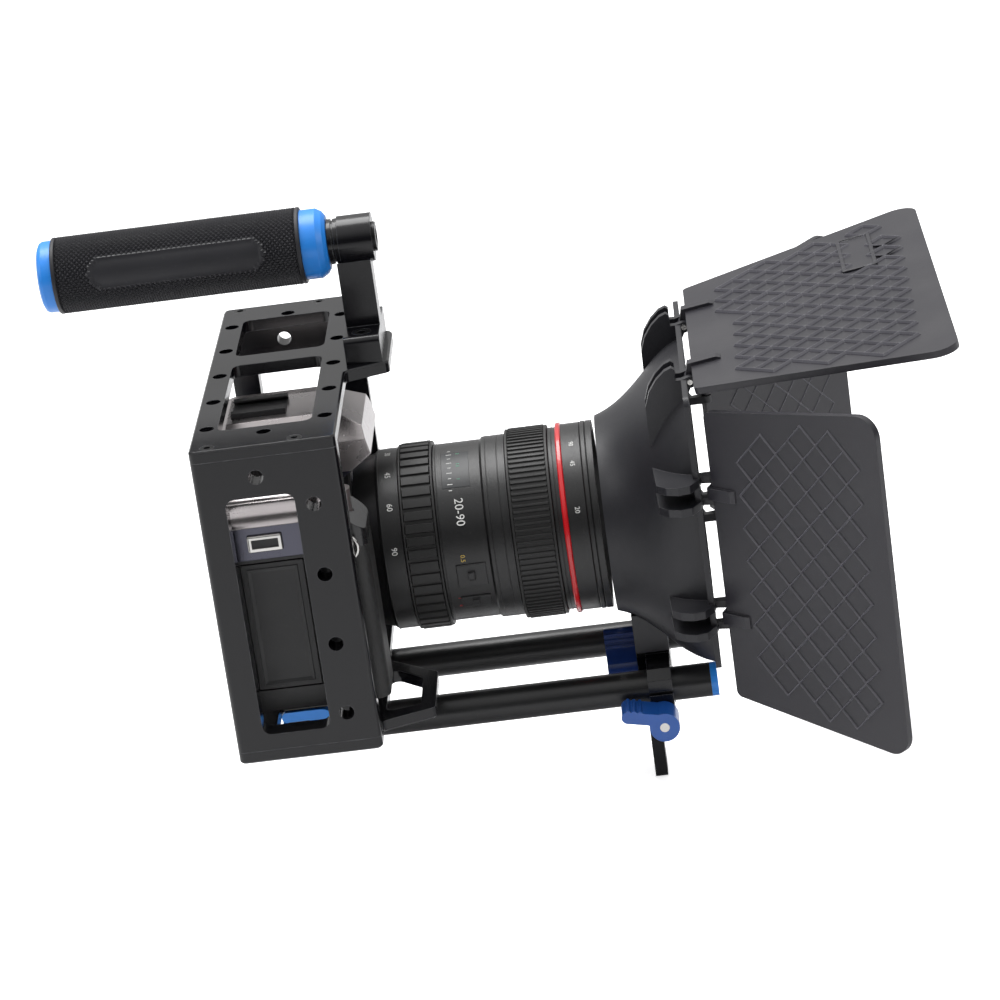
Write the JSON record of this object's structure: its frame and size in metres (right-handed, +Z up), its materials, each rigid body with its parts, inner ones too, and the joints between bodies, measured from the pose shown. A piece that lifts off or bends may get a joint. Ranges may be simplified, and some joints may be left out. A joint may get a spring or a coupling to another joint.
{
  "type": "cinema camera rig",
  "caption": "Cage rig for a still camera used as a cinema camera, with a zoom lens, top handle, support rods and a clamped matte box with hinged flags",
  "frame": {"origin": "midway between the two support rods, level with their axes, below the rear edge of the cage", "axes": "+X forward along the rods and the lens, +Y to the operator's left, +Z up"},
  "size_m": [0.3871, 0.2716, 0.2788],
  "materials": {
    "anodised_black": "black anodised aluminium, fine satin",
    "rod_black": "black anodised tube, satin",
    "anodised_blue": "blue anodised aluminium, satin",
    "cap_blue": "sky blue anodised aluminium, satin",
    "lever_dark_blue": "dark blue anodised aluminium",
    "steel_black": "blackened steel screws",
    "steel_bright": "bright steel",
    "brass": "brass stud",
    "grip_rubber": "black rubber with a raised diamond pattern",
    "pad_rubber": "black rubber pad",
    "hood_plastic": "charcoal moulded plastic, matte",
    "flag_plastic": "charcoal moulded plastic, matte, ribbed",
    "lens_black": "black speckled lens barrel",
    "ring_rubber": "black ribbed ring rubber",
    "red_line": "red enamel",
    "lens_glass": "coated glass",
    "window_clear": "clear window over a scale",
    "leatherette": "black grained covering",
    "camera_silver": "silver painted cover",
    "camera_black": "black plastic, fine texture",
    "screen_glass": "black glossy display"
  },
  "bodies": {
    "rig": {"base_bolts": "steel_black", "base_clamp_block": "anodised_black", "cage_bottom_plate": "anodised_black", "cage_screws": "steel_black", "cage_side_plate_left": "anodised_black", "cage_side_plate_right": "anodised_black", "cage_top_plate": "anodised_black", "camera_body": "camera_black", "camera_grip": "leatherette", "camera_top_cover": "camera_silver", "distance_window": "window_clear", "eyecup": "pad_rubber", "filter_ring": "lens_black", "front_element": "lens_glass", "handle_bolt": "steel_black", "handle_cap_front": "cap_blue", "handle_cap_rear": "cap_blue", "handle_foot_screws": "steel_black", "handle_grip": "grip_rubber", "handle_post": "anodised_black", "handle_spindle": "anodised_black", "hot_shoe": "camera_black", "lens_front_barrel": "lens_black", "lens_middle_barrel": "lens_black", "lens_mount_ring": "steel_bright", "lens_rear_barrel": "lens_black", "lens_red_ring": "red_line", "rear_screen": "screen_glass", "riser_pad": "pad_rubber", "rod_end_caps": "anodised_blue", "rod_left": "rod_black", "rod_right": "rod_black"},
    "clamp": {"rod_clamp_block": "anodised_black"},
    "matte_box": {"matte_box_post": "anodised_black", "matte_box_bracket": "anodised_black", "bracket_screws": "steel_black", "matte_box_hood": "hood_plastic", "lens_adapter_ring": "anodised_black", "top_flag_pins": "steel_bright", "right_flag_pins": "steel_bright", "left_flag_pins": "steel_bright"},
    "top_flag_body": {"top_flag": "flag_plastic"},
    "right_flag_body": {"side_flag_right": "flag_plastic"},
    "left_flag_body": {"side_flag_left": "flag_plastic"},
    "rod_lever_body": {"rod_lever": "anodised_blue", "rod_lever_stud": "steel_bright"},
    "height_lever_body": {"height_lever": "lever_dark_blue", "height_lever_stud": "brass"},
    "base_lever_right_body": {"base_lever_right": "anodised_blue", "base_stud_right": "steel_bright"},
    "base_lever_left_body": {"base_lever_left": "anodised_blue", "base_stud_left": "steel_bright"},
    "zoom_ring_body": {"zoom_ring": "ring_rubber"},
    "focus_ring_body": {"focus_ring": "ring_rubber"},
    "camera_screw_body": {"camera_screw": "anodised_black"},
    "card_door_body": {"card_door": "camera_black"},
    "shutter_button_body": {"shutter_button": "camera_silver"},
    "main_dial_body": {"main_dial": "camera_black"},
    "mode_dial_body": {"mode_dial": "camera_black"},
    "strap_ring_body": {"strap_ring": "steel_bright"}
  },
  "joints": [
    {"name": "matte_box_slide", "type": "slide", "parent": "rig", "child": "clamp", "axis": [1, 0, 0], "range_m": [0, 0.015]},
    {"name": "matte_box_height", "type": "slide", "parent": "clamp", "child": "matte_box", "axis": [0, 0, 1], "range_m": [0, 0.03]},
    {"name": "top_flag_tilt", "type": "hinge", "parent": "matte_box", "child": "top_flag_body", "pos_m": [0.2094, 0, 0.143], "axis": [0, -1, 0], "range_deg": [-3, 78]},
    {"name": "right_flag_swing", "type": "hinge", "parent": "matte_box", "child": "right_flag_body", "pos_m": [0.2153, -0.0666, 0.0724], "axis": [0, 0, -1], "range_deg": [-84, 38]},
    {"name": "left_flag_swing", "type": "hinge", "parent": "matte_box", "child": "left_flag_body", "pos_m": [0.2153, 0.0666, 0.0724], "axis": [0, 0, 1], "range_deg": [-84, 38]},
    {"name": "rod_lever_turn", "type": "hinge", "parent": "clamp", "child": "rod_lever_body", "pos_m": [0.18005, -0.046, -0.0102], "axis": [0, 1, 0], "range_deg": [-60, 60]},
    {"name": "height_lever_turn", "type": "hinge", "parent": "clamp", "child": "height_lever_body", "pos_m": [0.164, 0, -0.002], "axis": [1, 0, 0], "range_deg": [-70, 70]},
    {"name": "base_lever_right_turn", "type": "hinge", "parent": "rig", "child": "base_lever_right_body", "pos_m": [0.0315, -0.044, 0.01], "axis": [0, -1, 0], "range_deg": [0, 100]},
    {"name": "base_lever_left_turn", "type": "hinge", "parent": "rig", "child": "base_lever_left_body", "pos_m": [0.0315, 0.044, 0.01], "axis": [0, -1, 0], "range_deg": [0, 100]},
    {"name": "zoom_ring_turn", "type": "hinge", "parent": "rig", "child": "zoom_ring_body", "pos_m": [0.085, 0, 0.0724], "axis": [1, 0, 0], "range_deg": [0, 75]},
    {"name": "focus_ring_turn", "type": "hinge", "parent": "rig", "child": "focus_ring_body", "pos_m": [0.134, 0, 0.0724], "axis": [1, 0, 0], "range_deg": [-60, 60]},
    {"name": "camera_screw_turn", "type": "hinge", "parent": "rig", "child": "camera_screw_body", "pos_m": [0.03, 0, 0.01], "axis": [0, 0, 1], "continuous": true},
    {"name": "card_door_swing", "type": "hinge", "parent": "rig", "child": "card_door_body", "pos_m": [0.0125, -0.0822, 0.07], "axis": [0, 0, -1], "range_deg": [0, 70]},
    {"name": "shutter_button_press", "type": "slide", "parent": "rig", "child": "shutter_button_body", "axis": [0, 0, -1], "range_m": [0, 0.0012], "stiffness_N_per_m": 400, "springref_m": -0.0015},
    {"name": "main_dial_turn", "type": "hinge", "parent": "rig", "child": "main_dial_body", "pos_m": [0.045, -0.067, 0.1246], "axis": [0, 1, 0], "continuous": true},
    {"name": "mode_dial_turn", "type": "hinge", "parent": "rig", "child": "mode_dial_body", "pos_m": [0.022, -0.048, 0.13], "axis": [0, 0, 1], "continuous": true},
    {"name": "strap_ring_swing", "type": "hinge", "parent": "rig", "child": "strap_ring_body", "pos_m": [0.057, -0.0856, 0.108], "axis": [1, 0, 0], "range_deg": [-8, 8]}
  ]
}
